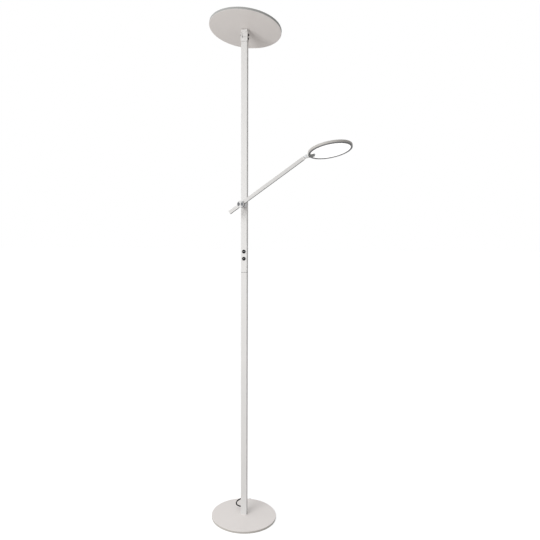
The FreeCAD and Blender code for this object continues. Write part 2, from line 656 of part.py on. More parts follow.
# ---------------------------------------------------------------- arm pivot
def pivot_barrel():
    barrel = rod(BARREL_RADIUS, V(0, POLE_FRONT, PIVOT_HEIGHT), V(0, BARREL_END, PIVOT_HEIGHT))
    front = [e for e in barrel.Edges if e.BoundBox.YMax < BARREL_END + 1e-3]
    barrel = barrel.makeChamfer(BARREL_EDGE, front)
    return barrel.cut(rod(SPINDLE_RADIUS, V(0, POLE_Y, PIVOT_HEIGHT), V(0, BARREL_END - 1, PIVOT_HEIGHT)))


def pivot_spindle():
    back = V(0, FRONT_WALL_INSIDE + SPINDLE_TAIL, PIVOT_HEIGHT)
    shoulder = V(0, BARREL_END, PIVOT_HEIGHT)
    front = V(0, KNOB_FRONT + KNOB_FACE, PIVOT_HEIGHT)
    spindle = rod(SPINDLE_RADIUS, back, shoulder).fuse(rod(SPINDLE_NOSE_RADIUS, shoulder, front))
    bore_end = V(0, ARM_Y, PIVOT_HEIGHT)
    spindle = spindle.cut(rod(SPINDLE_BORE_RADIUS, back + V(0, 1, 0), bore_end))
    return spindle


def spindle_nut():
    start = V(0, FRONT_WALL_INSIDE, PIVOT_HEIGHT)
    end = start + V(0, SPINDLE_NUT_HEIGHT, 0)
    return hexagon(SPINDLE_NUT_ACROSS_FLATS, start, end).cut(rod(SPINDLE_RADIUS, start - V(0, 1, 0), end + V(0, 1, 0)))


def friction_washer(space_start):
    margin = (WASHER_SPACE - WASHER_THICKNESS) / 2
    start = V(0, space_start - margin, PIVOT_HEIGHT)
    end = V(0, space_start - margin - WASHER_THICKNESS, PIVOT_HEIGHT)
    bore = SPINDLE_NOSE_RADIUS + RUNNING_CLEARANCE
    return rod(WASHER_RADIUS, start, end).cut(rod(bore, start + V(0, 1, 0), end - V(0, 1, 0)))


def pivot_knob():
    knob = rod(KNOB_RADIUS, V(0, KNOB_BACK, PIVOT_HEIGHT), V(0, KNOB_FRONT, PIVOT_HEIGHT))
    front = [e for e in knob.Edges if e.BoundBox.YMax < KNOB_FRONT + 1e-3]
    knob = knob.makeChamfer(KNOB_EDGE, front)
    dish = cone(KNOB_DISH_RADIUS, 0.4, V(0, KNOB_FRONT, PIVOT_HEIGHT), V(0, KNOB_FRONT + KNOB_DISH, PIVOT_HEIGHT))
    bore = rod(SPINDLE_NOSE_RADIUS + RUNNING_CLEARANCE, V(0, KNOB_BACK + 1, PIVOT_HEIGHT),
               V(0, KNOB_FRONT + KNOB_FACE - 0.2, PIVOT_HEIGHT))
    return knob.cut(dish).cut(bore)


# ---------------------------------------------------------------- reading arm, in the arm's own frame
def along_arm(side, start, end, corner):
    """A square bar along the arm, from one distance to another."""
    half = side / 2
    bar = block(start, end, -half, half, -half, half)
    return bar.makeFillet(corner, edges_along(bar, V(1, 0, 0))) if corner > 0 else bar


def bush_radius():
    return SPINDLE_NOSE_RADIUS + RUNNING_CLEARANCE + BUSH_WALL


def arm_tube():
    tube = along_arm(ARM_SIDE, -ARM_TAIL, ARM_LENGTH, ARM_CORNER)
    tube = tube.cut(along_arm(ARM_SIDE - 2 * ARM_WALL, -ARM_TAIL - 1, ARM_LENGTH + 1, 0))
    tube = tube.cut(rod(bush_radius(), V(0, -ARM_SIDE, 0), V(0, ARM_SIDE, 0)))
    return in_frame(tube, ARM_FRAME)


def arm_bush():
    sleeve = rod(bush_radius(), V(0, -ARM_HALF, 0), V(0, ARM_HALF, 0))
    sleeve = sleeve.cut(rod(SPINDLE_NOSE_RADIUS + RUNNING_CLEARANCE, V(0, -ARM_SIDE, 0), V(0, ARM_SIDE, 0)))
    return in_frame(sleeve, ARM_FRAME)


def arm_tail_cap():
    plate = along_arm(ARM_SIDE, -ARM_TAIL - TAIL_CAP, -ARM_TAIL, ARM_CORNER)
    plug = along_arm(ARM_SIDE - 2 * ARM_WALL, -ARM_TAIL, -ARM_TAIL + TAIL_PLUG, 0)
    return in_frame(plate.fuse(plug), ARM_FRAME)


def arm_lead():
    lead = rod(ARM_LEAD_RADIUS, V(ARM_LEAD_START, 0, 0), V(ARM_LENGTH - NOSE_PLUG, 0, 0))
    return in_frame(lead, ARM_FRAME)


def arm_nose():
    plug = along_arm(ARM_SIDE - 2 * ARM_WALL, ARM_LENGTH - NOSE_PLUG, ARM_LENGTH, 0)
    shoulder = along_arm(ARM_SIDE, ARM_LENGTH, ARM_LENGTH + NOSE_SHOULDER, ARM_CORNER)
    half = TONGUE_THICKNESS / 2
    tongue = block(ARM_LENGTH + NOSE_SHOULDER, ARM_REACH, -half, half, -KNUCKLE_RADIUS, KNUCKLE_RADIUS)
    tip = rod(KNUCKLE_RADIUS, V(ARM_REACH, -half, 0), V(ARM_REACH, half, 0))
    nose = plug.fuse(shoulder).fuse(tongue).fuse(tip)
    bore = rod(KNUCKLE_PIN_RADIUS + RUNNING_CLEARANCE, V(ARM_REACH, -ARM_SIDE, 0), V(ARM_REACH, ARM_SIDE, 0))
    return in_frame(nose.cut(bore), ARM_FRAME)


# ---------------------------------------------------------------- head knuckle, in the knuckle's own frame
def knuckle_fork():
    inner = TONGUE_THICKNESS / 2 + KNUCKLE_GAP
    outer = inner + KNUCKLE_CHEEK
    fork = None
    for side in (-1, 1):
        low, high = sorted((side * inner, side * outer))
        cheek = block(0, KNUCKLE_ROOT_START, low, high, -KNUCKLE_RADIUS, KNUCKLE_RADIUS)
        cheek = cheek.fuse(rod(KNUCKLE_RADIUS, V(0, low, 0), V(0, high, 0)))
        fork = cheek if fork is None else fork.fuse(cheek)
    root = block(KNUCKLE_ROOT_START, KNUCKLE_ROOT_START + KNUCKLE_ROOT, -outer, outer,
                 -KNUCKLE_RADIUS, KNUCKLE_RADIUS)
    spigot = rod(SPIGOT_RADIUS, V(KNUCKLE_ROOT_START + KNUCKLE_ROOT, 0, 0), V(BOSS_END, 0, 0))
    fork = fork.fuse(root).fuse(spigot)
    fork = fork.cut(rod(KNUCKLE_PIN_RADIUS, V(0, -2 * outer, 0), V(0, 2 * outer, 0)))
    fork = fork.cut(rod(SWIVEL_SCREW_RADIUS, V(BOSS_START, 0, 0), V(BOSS_END + 1, 0, 0)))
    return in_frame(fork, KNUCKLE_FRAME)


def knuckle_pin():
    reach = TONGUE_THICKNESS / 2 + KNUCKLE_GAP + KNUCKLE_CHEEK
    pin = rod(KNUCKLE_PIN_RADIUS, V(0, -reach, 0), V(0, reach, 0))
    head = rod(KNUCKLE_PIN_HEAD_RADIUS, V(0, -reach - KNUCKLE_PIN_HEAD, 0), V(0, -reach, 0))
    edge = [e for e in head.Edges if e.BoundBox.YMax < -reach - KNUCKLE_PIN_HEAD + 1e-3]
    return in_frame(pin.fuse(head.makeFillet(KNUCKLE_PIN_HEAD / 2, edge)), KNUCKLE_FRAME)


def swivel_screw():
    """The flanged screw that keeps the head on its spigot."""
    flange_end = V(BOSS_END + SWIVEL_FLANGE, 0, 0)
    shank = rod(SWIVEL_SCREW_RADIUS, V(BOSS_START, 0, 0), flange_end)
    flange = rod(SWIVEL_FLANGE_RADIUS, V(BOSS_END, 0, 0), flange_end)
    head = rod(SWIVEL_SCREW_HEAD_RADIUS, flange_end, flange_end + V(SWIVEL_SCREW_HEAD, 0, 0))
    return in_frame(shank.fuse(flange).fuse(head), KNUCKLE_FRAME)


# ---------------------------------------------------------------- reading head, in the head's own frame
HEAD_INNER_RADIUS = HEAD_FACE_RADIUS - HEAD_WALL
HEAD_INNER_TOP = HEAD_THICKNESS - HEAD_TOP_SHEET
LIP_INNER_RADIUS = HEAD_FACE_RADIUS - LIP_WIDTH
LIP_COLLAR_RADIUS = HEAD_FACE_RADIUS - LIP_COLLAR_WIDTH
DIFFUSER_TOP = LIP_LEDGE + HEAD_DIFFUSER
GUIDE_TOP_FACE = DIFFUSER_TOP + GUIDE_THICKNESS
REFLECTOR_TOP = GUIDE_TOP_FACE + REFLECTOR_THICKNESS
BOSS_NEAR = BOSS_START - HEAD_REACH
BOSS_FAR = BOSS_END - SWIVEL_END_PLAY - HEAD_REACH
BOSS_SCREW_PLACES = (BOSS_NEAR + BOSS_SCREW_INSET, BOSS_FAR - BOSS_SCREW_INSET)


def boss_outline():
    """The swivel boss without its bore: round below the lit face, square up to the housing's back."""
    low = rod(BOSS_RADIUS, V(BOSS_NEAR, 0, 0), V(BOSS_FAR, 0, 0))
    high = block(BOSS_NEAR, BOSS_FAR, -BOSS_RADIUS, BOSS_RADIUS, 0, HEAD_INNER_TOP)
    return low.fuse(high)


def boss_pocket():
    """The room that the boss, its washer and its screw need inside the head."""
    top = HEAD_INNER_TOP + 0.01
    half = BOSS_RADIUS + POCKET_GAP
    boss_room = block(-HEAD_RADIUS, BOSS_FAR + POCKET_GAP, -half, half, -1, top)
    end = SWIVEL_FLANGE_RADIUS + POCKET_GAP
    far = BOSS_END + SWIVEL_FLANGE + SWIVEL_SCREW_HEAD + POCKET_GAP - HEAD_REACH
    return boss_room.fuse(block(BOSS_FAR, far, -end, end, -1, top))


def boss_screw_set():
    screws = []
    for x in BOSS_SCREW_PLACES:
        top = V(x, 0, HEAD_THICKNESS)
        shank = rod(SWIVEL_SCREW_RADIUS, top - V(0, 0, BOSS_SCREW_LENGTH), top)
        screws.append(shank.fuse(rod(BOSS_SCREW_HEAD_RADIUS, top - V(0, 0, BOSS_SCREW_HEAD), top)))
    return group(screws)


def head_housing():
    pan = turned([
        (0, HEAD_INNER_TOP),
        (HEAD_INNER_RADIUS, HEAD_INNER_TOP),
        (HEAD_INNER_RADIUS, LIP_HEIGHT),
        (HEAD_FACE_RADIUS, LIP_HEIGHT),
        (HEAD_RADIUS, LIP_HEIGHT + HEAD_FACE_STEP),
        (HEAD_RADIUS, HEAD_THICKNESS),
        (0, HEAD_THICKNESS),
    ])
    top = [e for e in pan.Edges if e.BoundBox.ZMin > HEAD_THICKNESS - 1e-3 and e.Length > HEAD_RADIUS]
    pan = pan.makeFillet(HEAD_TOP_ROUND, top)
    notch = rod(NOTCH_RADIUS, V(-HEAD_REACH, 0, 0), V(BOSS_NEAR, 0, 0))
    return in_frame(pan.cut(notch).cut(boss_outline()).cut(boss_screw_set()), HEAD_FRAME)


def head_boss():
    boss = boss_outline()
    boss = boss.cut(rod(SPIGOT_RADIUS + RUNNING_CLEARANCE, V(-HEAD_REACH, 0, 0), V(0, 0, 0)))
    return in_frame(boss.cut(boss_screw_set()), HEAD_FRAME)


def boss_screws():
    return in_frame(boss_screw_set(), HEAD_FRAME)


def head_lip():
    """The dark ring around the lit face, with a ledge that carries the diffuser."""
    lip = turned([
        (LIP_INNER_RADIUS, 0),
        (HEAD_FACE_RADIUS, 0),
        (HEAD_FACE_RADIUS, LIP_HEIGHT),
        (LIP_COLLAR_RADIUS, LIP_HEIGHT),
        (LIP_COLLAR_RADIUS, LIP_LEDGE),
        (LIP_INNER_RADIUS, LIP_LEDGE),
    ])
    return in_frame(lip.cut(boss_pocket()), HEAD_FRAME)


def head_diffuser():
    plate = rod(LIP_COLLAR_RADIUS - HEAD_PART_CLEARANCE / 2, V(0, 0, LIP_LEDGE), V(0, 0, DIFFUSER_TOP))
    return in_frame(plate.cut(boss_pocket()), HEAD_FRAME)


def head_light_guide():
    radius = HEAD_INNER_RADIUS - STRIP_THICKNESS - HEAD_PART_CLEARANCE
    plate = rod(radius, V(0, 0, DIFFUSER_TOP), V(0, 0, GUIDE_TOP_FACE))
    return in_frame(plate.cut(boss_pocket()), HEAD_FRAME)


def head_led_strip():
    strip = ring(HEAD_INNER_RADIUS, HEAD_INNER_RADIUS - STRIP_THICKNESS, DIFFUSER_TOP, GUIDE_TOP_FACE)
    return in_frame(strip.cut(boss_pocket()), HEAD_FRAME)


def head_reflector():
    radius = HEAD_INNER_RADIUS - HEAD_PART_CLEARANCE
    plate = rod(radius, V(0, 0, GUIDE_TOP_FACE), V(0, 0, REFLECTOR_TOP))
    return in_frame(plate.cut(boss_pocket()), HEAD_FRAME)


def head_back_frame():
    frame = ring(HEAD_INNER_RADIUS - HEAD_PART_CLEARANCE, BACK_FRAME_INNER, REFLECTOR_TOP, HEAD_INNER_TOP)
    return in_frame(frame.cut(boss_pocket()), HEAD_FRAME)


# ---------------------------------------------------------------- uplight fork and its screw
def square_outline(side, z, corner):
    """The outline of the rounded square bar at a height."""
    return square_bar(side, z - 1, z + 1, corner, POLE_Y).slice(V(0, 0, 1), z)[0]


def uplight_fork():
    plug = square_bar(POLE_SIDE - 2 * POLE_WALL, PLUG_BOTTOM, POLE_TOP, max(POLE_CORNER - POLE_WALL, 0), POLE_Y)
    taper_top = POLE_TOP + FORK_TAPER
    outlines = [square_outline(POLE_SIDE, POLE_TOP, POLE_CORNER), square_outline(FORK_SIDE, taper_top, FORK_CORNER)]
    taper = Part.makeLoft(outlines, True, True)
    bar = square_bar(FORK_SIDE, taper_top, TILT_PIN_HEIGHT + FORK_SIDE, FORK_CORNER, POLE_Y)
    below = block(-FORK_SIDE, FORK_SIDE, -FORK_SIDE, POLE_Y + FORK_SIDE, taper_top, TILT_PIN_HEIGHT)
    round_top = rod(FORK_HALF, V(-FORK_SIDE, POLE_Y, TILT_PIN_HEIGHT), V(FORK_SIDE, POLE_Y, TILT_PIN_HEIGHT))
    fork = plug.fuse(taper).fuse(bar.common(below.fuse(round_top)))
    slot = LINK_TONGUE_HALF + FORK_GAP
    floor = TILT_PIN_HEIGHT - LINK_TONGUE_RADIUS - LINK_FLOOR_GAP
    fork = fork.cut(block(-slot, slot, -FORK_SIDE, POLE_Y + FORK_SIDE, floor, TILT_PIN_HEIGHT + FORK_SIDE))
    lead_y = POLE_Y + LEAD_HOLE_OFFSET
    fork = fork.cut(rod(LEAD_HOLE_RADIUS, V(0, lead_y, PLUG_BOTTOM - 1), V(0, lead_y, TILT_PIN_HEIGHT)))
    return fork.cut(tilt_screw_shank()).cut(lock_screw()).removeSplitter()


def tilt_screw_shank():
    left = V(-FORK_HALF - TILT_NUT, POLE_Y, TILT_PIN_HEIGHT)
    return rod(TILT_PIN_RADIUS, left, V(FORK_HALF, POLE_Y, TILT_PIN_HEIGHT))


def lock_screw():
    """The short screw in the fork's right side, under the tilt screw."""
    near = V(FORK_HALF, POLE_Y, TILT_PIN_HEIGHT - LOCK_SCREW_DROP)
    far = near + V(LOCK_SCREW_HEAD, 0, 0)
    head = rod(LOCK_SCREW_HEAD_RADIUS, near, far)
    head = head.makeFillet(0.5, [e for e in head.Edges if e.BoundBox.XMin > far.x - 1e-3])
    socket = hexagon(2 * LOCK_SCREW_SOCKET_RADIUS, far - V(LOCK_SCREW_SOCKET, 0, 0), far + V(1, 0, 0))
    return head.cut(socket).fuse(rod(LOCK_SCREW_RADIUS, near - V(LOCK_SCREW_DEPTH, 0, 0), near))


def tilt_screw():
    """The two black screws of the fork: the one that the link tilts about, and the lock screw."""
    near = V(FORK_HALF, POLE_Y, TILT_PIN_HEIGHT)
    far = near + V(TILT_HEAD, 0, 0)
    head = rod(TILT_HEAD_RADIUS, near, far)
    head = head.makeFillet(0.6, [e for e in head.Edges if e.BoundBox.XMin > far.x - 1e-3])
    head = head.cut(hexagon(2 * TILT_SOCKET_RADIUS, far - V(TILT_SOCKET, 0, 0), far + V(1, 0, 0)))
    return group([head.fuse(tilt_screw_shank()), lock_screw()])


def tilt_nut():
    start = V(-FORK_HALF, POLE_Y, TILT_PIN_HEIGHT)
    end = start - V(TILT_NUT, 0, 0)
    nut = rod(TILT_NUT_RADIUS, start, end)
    nut = nut.makeFillet(0.6, [e for e in nut.Edges if e.BoundBox.XMax < end.x + 1e-3])
    return nut.cut(tilt_screw_shank())


# ---------------------------------------------------------------- uplight link, in the tilting frame
def uplight_link():
    body = block(-LINK_HALF, LINK_HALF, -LINK_HALF, LINK_HALF, 0, LINK_TOP)
    upright = edges_along(body, V(0, 0, 1))
    body = body.makeFillet(FORK_CORNER, upright)
    crown = [e for e in edges_along(body, V(0, 1, 0)) if e.BoundBox.ZMin > LINK_TOP - 1e-3]
    body = body.makeChamfer(LINK_TOP_CHAMFER, crown)
    for side in (-1, 1):
        near, far = sorted((side * LINK_TONGUE_HALF, side * FORK_SIDE))
        body = body.cut(rod(FORK_HALF + LINK_RECESS_GAP, V(near, 0, 0), V(far, 0, 0)))
    tongue = rod(LINK_TONGUE_RADIUS, V(-LINK_TONGUE_HALF, 0, 0), V(LINK_TONGUE_HALF, 0, 0))
    body = body.fuse(tongue)
    body = body.cut(rod(TILT_PIN_RADIUS + RUNNING_CLEARANCE, V(-FORK_SIDE, 0, 0), V(FORK_SIDE, 0, 0)))
    half_x = HUB_TONGUE_SIDE / 2 + HUB_POCKET_SIDE_GAP
    half_y = HUB_TONGUE_SIDE / 2 + HUB_POCKET_END_GAP
    floor = SIDE_PIN_HEIGHT - HUB_TONGUE_SIDE / 2 - HUB_POCKET_FLOOR
    body = body.cut(block(-half_x, half_x, -half_y, half_y, floor, LINK_TOP + 1))
    lead_hole = rod(LEAD_HOLE_RADIUS, V(0, LEAD_HOLE_OFFSET, -FORK_SIDE), V(0, LEAD_HOLE_OFFSET, FORK_SIDE))
    return in_frame(body.cut(side_pin_shape()).cut(lead_hole).removeSplitter(), TILT_FRAME)


def side_pin_shape():
    return rod(SIDE_PIN_RADIUS, V(0, -SIDE_PIN_FRONT, SIDE_PIN_HEIGHT), V(0, LINK_HALF, SIDE_PIN_HEIGHT))


def side_pin():
    """The side pin is cut through behind the pocket, so that the lead can pass it."""
    return in_frame(side_pin_shape(), TILT_FRAME)


# ---------------------------------------------------------------- uplight disc, in its own frame
def pan_place(z):
    """A height above the disc's underside, on the disc's axis."""
    return V(0, 0, DISC_ABOVE_SIDE_PIN + z)


def on_pan(shape):
    """A shape drawn from the disc's underside, moved onto the lamp."""
    lifted = shape.copy()
    lifted.translate(pan_place(0))
    return in_frame(lifted, UPLIGHT_FRAME)


def hub_screw_set():
    screws = []
    top = DISC_SHEET + HUB_FLANGE
    for place in around(HUB_SCREW_COUNT, HUB_SCREW_CIRCLE):
        shank = rod(HUB_SCREW_RADIUS, place + V(0, 0, 0.2), place + V(0, 0, top))
        head = rod(HUB_SCREW_HEAD_RADIUS, place + V(0, 0, top), place + V(0, 0, top + HUB_SCREW_HEAD))
        screws.append(shank.fuse(head))
    return group(screws)


def pan_lead_hole():
    place = V(0, LEAD_HOLE_OFFSET + LEAD_HOLE_RADIUS, -1)
    return rod(LEAD_HOLE_RADIUS, place, place + V(0, 0, DISC_THICKNESS / 2 + 1))


def hub_shape():
    """The hub from the side pin's height up, with its origin at the disc's underside."""
    half = HUB_TONGUE_SIDE / 2
    drop = -DISC_ABOVE_SIDE_PIN
    tongue = block(-half, half, -half, half, drop, DISC_SHEET)
    tip = rod(half, V(0, -half, drop), V(0, half, drop))
    flange = rod(HUB_FLANGE_RADIUS, V(0, 0, DISC_SHEET), V(0, 0, DISC_SHEET + HUB_FLANGE))
    hub = tongue.fuse(tip).fuse(flange)
    bore = SIDE_PIN_RADIUS + RUNNING_CLEARANCE
    return hub.cut(rod(bore, V(0, -2 * half, drop), V(0, 2 * half, drop)))


def uplight_hub():
    return on_pan(hub_shape().cut(hub_screw_set()).cut(pan_lead_hole()))


def hub_screws():
    return on_pan(hub_screw_set())


def uplight_pan():
    pan = rod(DISC_RADIUS, V(0, 0, 0), V(0, 0, DISC_THICKNESS))
    pan = pan.makeFillet(DISC_EDGE, [e for e in pan.Edges if e.BoundBox.ZMax < 1e-3])
    pan = pan.cut(rod(DISC_RADIUS - DISC_SHEET, V(0, 0, DISC_SHEET), V(0, 0, DISC_THICKNESS + 1)))
    half = HUB_TONGUE_SIDE / 2
    pan = pan.cut(block(-half, half, -half, half, -1, DISC_SHEET + 1))
    return on_pan(pan.cut(hub_screw_set()).cut(pan_lead_hole()))


def uplight_board():
    return on_pan(ring(UPLIGHT_BOARD_OUTER, UPLIGHT_BOARD_INNER, DISC_SHEET, DISC_SHEET + UPLIGHT_BOARD))


def uplight_leds():
    half = UPLIGHT_LED_SIDE / 2
    low = DISC_SHEET + UPLIGHT_BOARD
    leds = []
    for place in around(UPLIGHT_LED_COUNT, UPLIGHT_LED_CIRCLE, 0.0):
        leds.append(block(place.x - half, place.x + half, place.y - half, place.y + half, low, low + UPLIGHT_LED))
    return on_pan(group(leds))


UPLIGHT_DIFFUSER_LOW = DISC_THICKNESS - UPLIGHT_DIFFUSER_INSET - UPLIGHT_DIFFUSER
UPLIGHT_INSERT_RADIUS = DISC_RADIUS - DISC_SHEET - UPLIGHT_DIFFUSER_CLEARANCE


def uplight_spacer():
    return on_pan(ring(UPLIGHT_INSERT_RADIUS, UPLIGHT_INSERT_RADIUS - SPACER_WIDTH, DISC_SHEET, UPLIGHT_DIFFUSER_LOW))


def uplight_diffuser():
    low = V(0, 0, UPLIGHT_DIFFUSER_LOW)
    return on_pan(rod(UPLIGHT_INSERT_RADIUS, low, low + V(0, 0, UPLIGHT_DIFFUSER)))


# ---------------------------------------------------------------- every piece, one file each
def friction_washers():
    return group([friction_washer(BARREL_END), friction_washer(ARM_Y - ARM_HALF)])


def button_upper():
    return button_cap(BUTTON_HEIGHTS[0])


def button_lower():
    return button_cap(BUTTON_HEIGHTS[1])


def upper_mark():
    return mark_pocket(BUTTON_HEIGHTS[0])


def lower_mark():
    return mark_pocket(BUTTON_HEIGHTS[1])


PIECES = [
    base_cover, base_weight, base_studs, base_nuts, base_pad, mains_gland, base_lead, cord_clamp,
    base_grommet, jumper_lead, pole_grommet, pole_foot_plug, pole_bolt, lower_pole, upper_pole, pole_joiner,
    joiner_screws, pole_lead, led_driver, button_upper, upper_mark, button_lower, lower_mark, tact_switches,
    control_board, button_guide, pivot_barrel, pivot_spindle, spindle_nut, friction_washers, pivot_knob,
    arm_tube, arm_bush, arm_tail_cap, arm_lead, arm_nose, knuckle_fork, knuckle_pin, swivel_screw,
    head_housing, head_boss, boss_screws, head_lip, head_diffuser, head_light_guide, head_led_strip,
    head_reflector, head_back_frame, uplight_fork, tilt_screw, tilt_nut, uplight_link, side_pin, uplight_hub,
    hub_screws, uplight_pan, uplight_board, uplight_leds, uplight_spacer, uplight_diffuser,
]


def main():
    os.makedirs("parts", exist_ok=True)
    for piece in PIECES:
        shape = piece()
        print("%-18s volume %10.1f  solids %d  valid %s" % (
            piece.__name__, shape.Volume, len(shape.Solids), shape.isValid()))
        shape.exportStep("parts/%s.step" % piece.__name__)


main()
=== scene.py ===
"""Torchiere floor lamp with a reading light: looks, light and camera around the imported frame.

Everything is in metres in the lamp's own frame: +Z up, front towards -Y, the reading head to +X.
"""
import math

import bpy
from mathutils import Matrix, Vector


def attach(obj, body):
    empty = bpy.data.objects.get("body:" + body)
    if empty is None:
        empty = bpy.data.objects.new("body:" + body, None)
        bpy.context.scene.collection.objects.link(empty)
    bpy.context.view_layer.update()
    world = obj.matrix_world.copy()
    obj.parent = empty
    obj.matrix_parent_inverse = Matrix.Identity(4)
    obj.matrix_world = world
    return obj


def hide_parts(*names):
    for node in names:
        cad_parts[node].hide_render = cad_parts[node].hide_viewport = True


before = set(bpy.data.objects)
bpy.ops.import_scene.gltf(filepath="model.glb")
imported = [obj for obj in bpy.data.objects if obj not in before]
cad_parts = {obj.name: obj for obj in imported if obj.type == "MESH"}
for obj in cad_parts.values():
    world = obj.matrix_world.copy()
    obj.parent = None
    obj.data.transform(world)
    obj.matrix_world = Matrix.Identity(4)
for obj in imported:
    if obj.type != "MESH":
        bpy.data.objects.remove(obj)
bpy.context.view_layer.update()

# ---------------------------------------------------------------- camera, from the photograph's perspective
CAMERA_PLACE = (0.3996, -1.9137, 1.0616)
CAMERA_YAW = 12.42            # degrees to the left of +Y
CAMERA_PITCH = 4.02           # degrees down
CAMERA_ROLL = -0.029
CAMERA_SENSOR = 36.0          # mm
CAMERA_LENS = 36.03           # mm
CAMERA_SHIFT_X = 0.05882      # the photograph is cropped off-centre
CAMERA_REACH = 100.0


def make_camera():
    data = bpy.data.cameras.new("camera")
    data.lens = CAMERA_LENS
    data.sensor_width = CAMERA_SENSOR
    data.shift_x = CAMERA_SHIFT_X
    data.clip_end = CAMERA_REACH
    camera = bpy.data.objects.new("camera", data)
    bpy.context.scene.collection.objects.link(camera)
    camera.location = CAMERA_PLACE
    camera.rotation_euler = [math.radians(turn) for turn in (90 - CAMERA_PITCH, CAMERA_ROLL, CAMERA_YAW)]
    bpy.context.scene.camera = camera


# ---------------------------------------------------------------- node helpers
NOISE_DETAIL = 2.0
NOISE_RANGE = (0.3, 0.7)      # most values of a noise texture lie between these
GLOSS_VARY = 0.07             # how far the roughness strays, as a share of it


class Surface:
    """A material under construction: its nodes, and a few ways to drive its shader."""

    def __init__(self, name):
        self.name = name
        self.material = bpy.data.materials.new(name)
        self.material.use_nodes = True
        self.nodes = self.material.node_tree.nodes
        self.links = self.material.node_tree.links
        self.nodes.clear()
        output = self.nodes.new("ShaderNodeOutputMaterial")
        self.shader = self.nodes.new("ShaderNodeBsdfPrincipled")
        self.links.new(self.shader.outputs["BSDF"], output.inputs["Surface"])
        self.coords = self.nodes.new("ShaderNodeTexCoord")

    def join(self, source, target):
        """Links an output to an input, or sets the input to a plain value."""
        if isinstance(source, bpy.types.NodeSocket):
            self.links.new(source, target)
        else:
            target.default_value = source

    def math(self, operation, a, b=0.0):
        node = self.nodes.new("ShaderNodeMath")
        node.operation = operation
        self.join(a, node.inputs[0])
        self.join(b, node.inputs[1])
        return node.outputs["Value"]

    def vector(self, operation, a, b, output="Vector"):
        node = self.nodes.new("ShaderNodeVectorMath")
        node.operation = operation
        self.join(a, node.inputs[0])
        self.join(b, node.inputs[1])
        return node.outputs[output]

    def split(self, vector):
        node = self.nodes.new("ShaderNodeSeparateXYZ")
        self.join(vector, node.inputs[0])
        return node.outputs["X"], node.outputs["Y"], node.outputs["Z"]

    def spread(self, value, low, high, to_low=0.0, to_high=1.0, smooth=False):
        """A value mapped from one range to another, held at its ends."""
        node = self.nodes.new("ShaderNodeMapRange")
        if smooth:
            node.interpolation_type = "SMOOTHSTEP"
        node.inputs["From Min"].default_value = low
        node.inputs["From Max"].default_value = high
        node.inputs["To Min"].default_value = to_low
        node.inputs["To Max"].default_value = to_high
        self.join(value, node.inputs["Value"])
        return node.outputs["Result"]

    def noise(self, scale):
        """A noise texture over the object's own coordinates, in metres."""
        texture = self.nodes.new("ShaderNodeTexNoise")
        texture.inputs["Scale"].default_value = scale
        texture.inputs["Detail"].default_value = NOISE_DETAIL
        self.links.new(self.coords.outputs["Object"], texture.inputs["Vector"])
        return texture.outputs[0]

    def mix(self, factor, low, high):
        """Two colours mixed by a factor; each is a colour or an output."""
        node = self.nodes.new("ShaderNodeMix")
        node.data_type = "RGBA"
        self.join(factor, node.inputs[0])
        self.join(low if not isinstance(low, tuple) else (*low, 1), node.inputs[6])
        self.join(high if not isinstance(high, tuple) else (*high, 1), node.inputs[7])
        return node.outputs[2]

    def clouded(self, colour, vary, grain):
        """A colour that is a little uneven, and the noise behind it."""
        cloud = self.noise(grain)
        low = tuple(max(c * (1 - vary), 0) for c in colour)
        high = tuple(min(c * (1 + vary), 1) for c in colour)
        return self.mix(self.spread(cloud, *NOISE_RANGE), low, high), cloud

    def colour(self, source):
        self.join(source, self.shader.inputs["Base Color"])

    def gloss(self, roughness, cloud=None, metallic=0.0, specular=0.5):
        if cloud is not None:
            strays = roughness * (1 - GLOSS_VARY), roughness * (1 + GLOSS_VARY)
            roughness = self.spread(cloud, *NOISE_RANGE, *strays)
        self.join(roughness, self.shader.inputs["Roughness"])
        self.shader.inputs["Metallic"].default_value = metallic
        self.shader.inputs["Specular IOR Level"].default_value = specular

    def relief(self, height, strength, distance):
        node = self.nodes.new("ShaderNodeBump")
        node.inputs["Strength"].default_value = strength
        node.inputs["Distance"].default_value = distance
        self.join(height, node.inputs["Height"])
        self.links.new(node.outputs["Normal"], self.shader.inputs["Normal"])


def plain(name, colour, roughness, metallic=0.0, specular=0.5, vary=0.03, grain=60.0,
          texture=0.0, strength=0.2, depth=0.00001):
    """A moulded, painted or plated surface: slightly uneven in colour and gloss, with a fine relief."""
    surface = Surface(name)
    tint, cloud = surface.clouded(colour, vary, grain)
    surface.colour(tint)
    surface.gloss(roughness, cloud, metallic, specular)
    if texture > 0:
        surface.relief(surface.noise(texture), strength, depth)
    return surface


# ---------------------------------------------------------------- paint
PAINT_GRAIN = 14.0
PAINT_VARY = 0.01
SHADED_PAINT_VARY = 0.012
PAINT_TEXTURE = 1100.0        # the powder coat's fine orange peel, about 1 mm
PAINT_STRENGTH = 0.25
PAINT_DEPTH = 0.000006


def paint(name, colour, roughness, specular):
    return plain(name, colour, roughness, specular=specular, vary=PAINT_VARY, grain=PAINT_GRAIN,
                 texture=PAINT_TEXTURE, strength=PAINT_STRENGTH, depth=PAINT_DEPTH)


def paint_with_painted_shade(name, shade, shade_colour, colour, roughness, specular):
    """Paint with painted shade: a second, darker tone stands in for shade; shade gives, from a surface's
    place or direction, where it is.
    """
    surface = Surface(name)
    face, cloud = surface.clouded(colour, SHADED_PAINT_VARY, PAINT_GRAIN)
    surface.colour(surface.mix(shade(surface), face, shade_colour))
    surface.gloss(roughness, cloud, specular=specular)
    surface.relief(surface.noise(PAINT_TEXTURE), PAINT_STRENGTH, PAINT_DEPTH)
    return surface


def facing(surface, axis):
    """The cosine between the surface's direction and an axis."""
    return surface.vector("DOT_PRODUCT", surface.coords.outputs["Normal"], axis, "Value")
